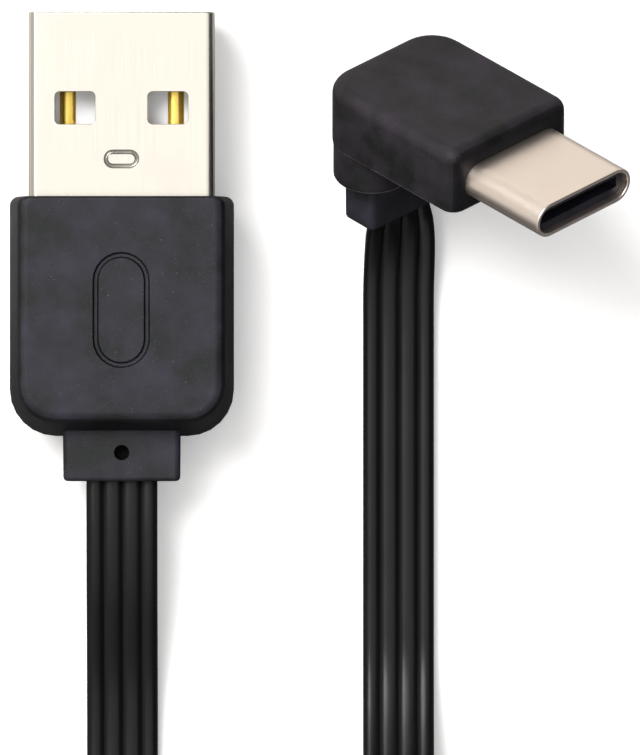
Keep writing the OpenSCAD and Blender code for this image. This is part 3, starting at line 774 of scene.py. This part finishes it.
# ---- USB-A contacts and insulator ----
# A white glass-filled block on which four gold-plated blades lie, each crowned a little so
# that it wipes. The outer two, for power, reach further out than the data pair.
contacts = {"usb_a_power_contacts": 3.5 * mm, "usb_a_data_contacts": 1.0 * mm}
blade_w = 1.24 * mm
blade_crown, blade_shoulder = 0.2 * mm, 0.16 * mm
crown_steps = 10
nose_l = 0.35 * mm
nose_steps = (0.25, 0.6, 1.0)
nose_narrows, nose_drops = 0.1, 0.75
gold = plated("contact gold", (0.86, 0.62, 0.16), (0.78, 0.55, 0.12), rough=(0.2, 0.3))
for name, at in contacts.items():
    low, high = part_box(name)
    profile = [(-blade_w / 2, low.z)]
    for k in range(crown_steps + 1):
        x = -1 + 2 * k / crown_steps
        profile.append((x * blade_w / 2, high.z - blade_shoulder + blade_crown * (1 - x * x)))
    profile.append((blade_w / 2, low.z))
    whole = bmesh.new()
    for side in (-1, 1):
        nose = high.y - nose_l
        rings = [[Vector((side * at + x, y, z)) for x, z in profile] for y in (low.y, nose)]
        for far in nose_steps:
            y = nose + nose_l * math.sin(far * math.pi / 2)
            narrow, fall = 1 - nose_narrows * far, 1 - nose_drops * far ** 2
            rings.append([Vector((side * at + x * narrow, y, low.z + (z - low.z) * fall))
                          for x, z in profile])
        blade = skin("blade", rings)
        whole.from_mesh(blade.data)
        bpy.data.objects.remove(blade)
    mesh = bpy.data.meshes.new(name)
    whole.to_mesh(mesh)
    whole.free()
    blades = bpy.data.objects.new(name.replace("contacts", "blades"), mesh)
    bpy.context.scene.collection.objects.link(blades)
    blades.data.materials.append(gold)
    soften(blades)
    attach(blades, "root")
    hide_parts(name)


def repaint(name, material):
    """Gives a CAD piece its finish."""
    piece = nodes[name]
    piece.data.materials.clear()
    piece.data.materials.append(material)


white_block, tree, shader, relief = finish_of("white insulator", 0.42, bump=0.004 * mm)
shader.inputs["Subsurface Weight"].default_value = 0.08
shader.inputs["Subsurface Radius"].default_value = (0.0006, 0.0006, 0.0007)
marks = put_group(tree, handled, Patch_Size=1.6, Speck_Size=0.2)
moulded = put_group(tree, grain, Grain_Size=0.1)
milky = blend_colour(tree, marks.outputs["Patches"], (0.88, 0.90, 0.95), (0.93, 0.94, 0.97))
tree.links.new(milky, shader.inputs["Base Color"])
tree.links.new(moulded.outputs["Height"], relief.inputs["Height"])
repaint("usb_a_insulator", white_block)

# ---- Pieces inside the USB-A plug ----
# The ribbon's four cores fan out to the tails of the blades and are soldered there, and a hard
# inner moulding is shot round the joints before the grip. Nothing of this shows.
core_colours = {"red": (0.45, 0.01, 0.01), "white": (0.72, 0.72, 0.70),
                "green": (0.01, 0.22, 0.05), "black": (0.012, 0.012, 0.012)}
core_finish = {}
for colour_name, colour in core_colours.items():
    material, tree, shader, relief = finish_of(f"{colour_name} core", 0.45, bump=0.004 * mm)
    marks = put_group(tree, handled, Patch_Size=1.2, Speck_Size=0.1)
    drift = blend_colour(tree, marks.outputs["Patches"], colour, tinted(colour, (0.8, 0.8, 0.8)))
    tree.links.new(drift, shader.inputs["Base Color"])
    tree.links.new(marks.outputs["Specks"], relief.inputs["Height"])
    core_finish[colour_name] = material
    repaint(f"usb_a_{colour_name}_core", material)
solder = plated(
    "tin solder", (0.62, 0.62, 0.64), (0.50, 0.50, 0.52), rough=(0.28, 0.5), bump=0.01 * mm)
repaint("usb_a_solder_joints", solder)
inner_plastic = grained_plastic(
    "inner moulding", (0.07, 0.07, 0.075), specks=(0.14, 0.14, 0.15),
    rough=(0.45, 0.6), grain_size=0.2, bump=0.02 * mm)
repaint("usb_a_inner_mould", inner_plastic)

# ---- USB-C block and neck ----
# The right-angle cover, moulded in one charcoal piece: a low block round the plug, and under
# its rear a half-round neck that turns down to the collar. Its lower rims are crisp and painted
# lighter as a highlight, and the face that the shell comes out of is painted darker as shade, like
# the grip's sides.
block_rear, block_front = -2.4 * mm, 10.4 * mm
block_w, neck_low, block_low, block_high = 10.4 * mm, 3.4 * mm, 6.0 * mm, 10.6 * mm
neck_t, neck_w, neck_root = 5.0 * mm, 10.2 * mm, 0.5 * mm
block_top_r, block_rim_r = 0.9 * mm, 0.25 * mm
block_rear_corner, block_front_corner = 2.5 * mm, 1.0 * mm
shell_c_w, shell_c_t, shell_c_wall = 8.25 * mm, 2.4 * mm, 0.25 * mm
shell_c_z, shell_c_rear, shell_c_tip = 7.95 * mm, 7.2 * mm, 17.1 * mm


def block_ring(z, less):
    """The block's plan at height z, drawn in all round."""
    rear, front = (max(r - less, least_r) for r in (block_rear_corner, block_front_corner))
    return flatten(outline(block_rear + less, block_front - less,
                           -block_w / 2 + less, block_w / 2 - less,
                           [front, rear, rear, front], 8), z)


def neck_ring(z, less):
    """The neck's plan at height z, drawn in all round."""
    return flatten(outline(block_rear + less, block_rear + neck_t - less,
                           -neck_w / 2 + less, neck_w / 2 - less,
                           [neck_t / 2 - less] * 4, 8), z)


rim_up = [(block_rim_r * (1 - math.sin(a)), block_rim_r * (1 - math.cos(a)))
          for a in reversed(quarter(4))]
rings = [block_ring(block_low + up, less) for up, less in rim_up]
rings += [block_ring(block_high - block_top_r * (1 - math.sin(a)), block_top_r * (1 - math.cos(a)))
          for a in quarter(fillet_steps)]
block = skin("usb_c_cover", rings)
neck_rings = [neck_ring(neck_low + up, less) for up, less in rim_up]
neck_rings.append(neck_ring(block_low + neck_root, 0))
combine(block, skin("neck", neck_rings), "UNION")
half_w, half_t = shell_c_w / 2 + snug, shell_c_t / 2 + snug
pocket = [(y, z + shell_c_z) for y, z in outline(-half_w, half_w, -half_t, half_t, [half_t] * 4, 8)]
cut(block, skin("shell pocket", [[Vector((x, y, z)) for y, z in pocket]
                                 for x in (shell_c_rear, block_front + mm)]))
# Faces round the lower rims are painted a lighter plastic, as a highlight.
highlight_h, flat_on, facing = 0.6 * block_rim_r, 0.93, 0.75
finish_at = []
for face in block.data.polygons:
    on_rim = any(low - hair < face.center.z < low + highlight_h for low in (neck_low, block_low))
    highlighted = on_rim and abs(face.normal.z) < flat_on
    # The face that the shell comes out of also gets the darker side plastic, as painted shade.
    front = face.normal.x > facing and face.center.x > block_front - mm
    finish_at.append(1 if highlighted else 2 if front else 0)
block.data.transform(stand_c)
soften(block)
block_face = grained_plastic(
    "charcoal block plastic", (0.0125, 0.0108, 0.0122), specks=(0.06, 0.054, 0.06),
    rough=(0.5, 0.6), grain_size=0.08, bump=0.012 * mm)
rim = grained_plastic(
    "rubbed rim", (0.15, 0.13, 0.14), specks=(0.2, 0.19, 0.2),
    rough=(0.4, 0.5), grain_size=0.08, bump=0.012 * mm)
for material in (block_face, rim, side_plastic_in_painted_shade):
    block.data.materials.append(material)
for face, at in zip(block.data.polygons, finish_at):
    face.material_index = at
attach(block, "root")
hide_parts("usb_c_body")

# ---- USB-C shell ----
# A seamless tube drawn from steel and plated a warm nickel, with half-round sides and a lip
# that is rolled over smooth.
shell_c = skin("usb_c_shell_tube", tube_rings(
    shell_c_w / 2, shell_c_t / 2, shell_c_t / 2, shell_c_wall, shell_c_rear, shell_c_tip,
    lambda across, far, up: Vector((far, across, up + shell_c_z)), 12), capped=False)
shell_c.data.transform(stand_c)
soften(shell_c, 50)
shell_c.data.materials.append(plated(
    "warm nickel", (0.92, 0.82, 0.74), (0.90, 0.79, 0.70), rough=(0.3, 0.4)))
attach(shell_c, "root")
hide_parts("usb_c_shell")

# ---- Pieces inside the USB-C plug ----
# A black insulator with two rows of gold contacts, two side latches and two ground springs
# fills the shell. Behind it a small board with its resistor takes the four cores.
black_block, tree, shader, relief = finish_of("black insulator", 0.4, specular=0.4, bump=0.004 * mm)
marks = put_group(tree, handled, Patch_Size=1.0, Speck_Size=0.1)
moulded = put_group(tree, grain, Grain_Size=0.09)
inky = blend_colour(tree, marks.outputs["Patches"], (0.010, 0.010, 0.016), (0.018, 0.018, 0.028))
tree.links.new(inky, shader.inputs["Base Color"])
tree.links.new(moulded.outputs["Height"], relief.inputs["Height"])
steel = plated("spring steel", (0.68, 0.68, 0.67), (0.58, 0.58, 0.58), rough=(0.25, 0.4))
board_green, tree, shader, relief = finish_of("solder mask", 0.3, bump=0.006 * mm)
weave = add(tree, "ShaderNodeTexBrick", Scale=2500.0)
place = add(tree, "ShaderNodeTexCoord")
tree.links.new(place.outputs["Object"], weave.inputs["Vector"])
woven = blend_colour(tree, weave.outputs["Fac"], (0.01, 0.13, 0.05), (0.012, 0.18, 0.07))
tree.links.new(woven, shader.inputs["Base Color"])
tree.links.new(weave.outputs["Fac"], relief.inputs["Height"])
for name, material in (("usb_c_insulator", black_block), ("usb_c_upper_contacts", gold),
                       ("usb_c_lower_contacts", gold), ("usb_c_side_latches", steel),
                       ("usb_c_upper_spring", steel), ("usb_c_lower_spring", steel),
                       ("usb_c_circuit_board", board_green), ("usb_c_resistor", black_block),
                       ("usb_c_solder_joints", solder), ("usb_c_inner_mould", inner_plastic)):
    repaint(name, material)
for colour_name in core_colours:
    repaint(f"usb_c_{colour_name}_core", core_finish[colour_name])

# ---- The ribbon as a cord ----
# It leaves the USB-A collar and ends in the USB-C plug, which stays on it with its inner
# pieces. The ties only hold the coil.
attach(ribbon, "root")
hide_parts("ribbon_a_run", "ribbon_coil", "ribbon_c_run")
on_the_cord = [collar_c, block, shell_c, *ties]
on_the_cord += [nodes[name] for name in sorted(nodes)
                if name.startswith("usb_c_") and not nodes[name].hide_render]

# ---- Floor and light ----
# A pale matte table under a small lamp at the upper left and a wide one overhead, in a room that
# is dim on the right, so that right-hand edges go dark. The camera sees the whole table pale, with
# a faint painted glow that lifts its shadows. What the plugs mirror of it, and the light it throws
# back, is painted instead: a painted reflection and painted shade, dark by their cables and pale in
# front of them.
floor_l = 8.0
corner = floor_l / 2
mesh = bpy.data.meshes.new("floor")
mesh.from_pydata([(x * corner, y * corner, 0) for x, y in ((-1, -1), (1, -1), (1, 1), (-1, 1))],
                 [], [(0, 1, 2, 3)])
floor = bpy.data.objects.new("floor", mesh)
bpy.context.scene.collection.objects.link(floor)
paper, tree, shader, relief = finish_of("pale table", 0.9, specular=0.2, bump=0.02 * mm)
place = add(tree, "ShaderNodeTexCoord")
fibres = add(tree, "ShaderNodeTexNoise", Scale=900.0, Detail=3.0)
tree.links.new(place.outputs["Object"], fibres.inputs["Vector"])
seen = add(tree, "ShaderNodeLightPath")
pale = blend_colour(tree, fibres.outputs["Fac"], (0.86, 0.86, 0.86), (0.9, 0.9, 0.9))
split = add(tree, "ShaderNodeSeparateXYZ")
tree.links.new(place.outputs["Object"], split.inputs[0])
ahead = add(tree, "ShaderNodeMath", operation="MULTIPLY_ADD")
ahead_slant = -0.4
ahead.inputs[1].default_value = ahead_slant
tree.links.new(split.outputs["X"], ahead.inputs[0])
tree.links.new(split.outputs["Y"], ahead.inputs[2])
# For all but the camera, the table is painted dark near the cables and pale in front: painted
# reflection and painted shade.
reflection_fade = remap(tree, ahead.outputs[0], between=(-5 * mm, 22 * mm))
painted_reflection = blend_colour(tree, reflection_fade, (0.13, 0.13, 0.13), (0.62, 0.6, 0.57))
paper_colour = blend_colour(tree, seen.outputs["Is Camera Ray"], painted_reflection, pale)
tree.links.new(paper_colour, shader.inputs["Base Color"])
# The camera alone sees a faint painted glow on the table that lifts its shadows.
shadow_lifting_glow = blend_colour(tree, seen.outputs["Is Camera Ray"], (0, 0, 0), (0.25, 0.25, 0.25))
tree.links.new(shadow_lifting_glow, shader.inputs["Emission Color"])
shader.inputs["Emission Strength"].default_value = 1.0
tree.links.new(fibres.outputs["Fac"], relief.inputs["Height"])
floor.data.materials.append(paper)
floor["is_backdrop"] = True


def softbox(name, at, aim, size, watts, tint=(1, 1, 1)):
    """A soft lamp that faces a point."""
    lamp = bpy.data.lights.new(name, "AREA")
    lamp.shape = "RECTANGLE"
    lamp.size, lamp.size_y = size
    lamp.energy = watts
    lamp.color = tint
    holder = bpy.data.objects.new(name, lamp)
    bpy.context.scene.collection.objects.link(holder)
    holder.location = at
    holder.rotation_mode = "QUATERNION"
    holder.rotation_quaternion = (Vector(at) - Vector(aim)).to_track_quat("Z", "Y")
    holder.visible_camera = False


softbox("key", at=(-0.45, 0.5, 1.0), aim=(0, 0, 0), size=(0.6, 0.6), watts=15,
        tint=(1.0, 0.985, 0.97))
softbox("overhead", at=(0.1, 0.05, 1.2), aim=(0.1, 0.05, 0), size=(1.8, 1.5), watts=8.4)
room = bpy.data.worlds.new("room")
bpy.context.scene.world = room
room.use_nodes = True
tree = room.node_tree
background = tree.nodes["Background"]
place = add(tree, "ShaderNodeTexCoord")
split = add(tree, "ShaderNodeSeparateXYZ")
tree.links.new(place.outputs["Generated"], split.inputs[0])
shade = remap(tree, split.outputs["X"], between=(-0.4, 0.5))
seen = add(tree, "ShaderNodeLightPath")
walls = blend_colour(tree, shade, (0.62, 0.6, 0.56), (0.07, 0.07, 0.08))
backdrop = blend_colour(tree, seen.outputs["Is Camera Ray"], walls, (0.88, 0.88, 0.88))
tree.links.new(backdrop, background.inputs["Color"])
background.inputs["Strength"].default_value = 1.0

low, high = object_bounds()
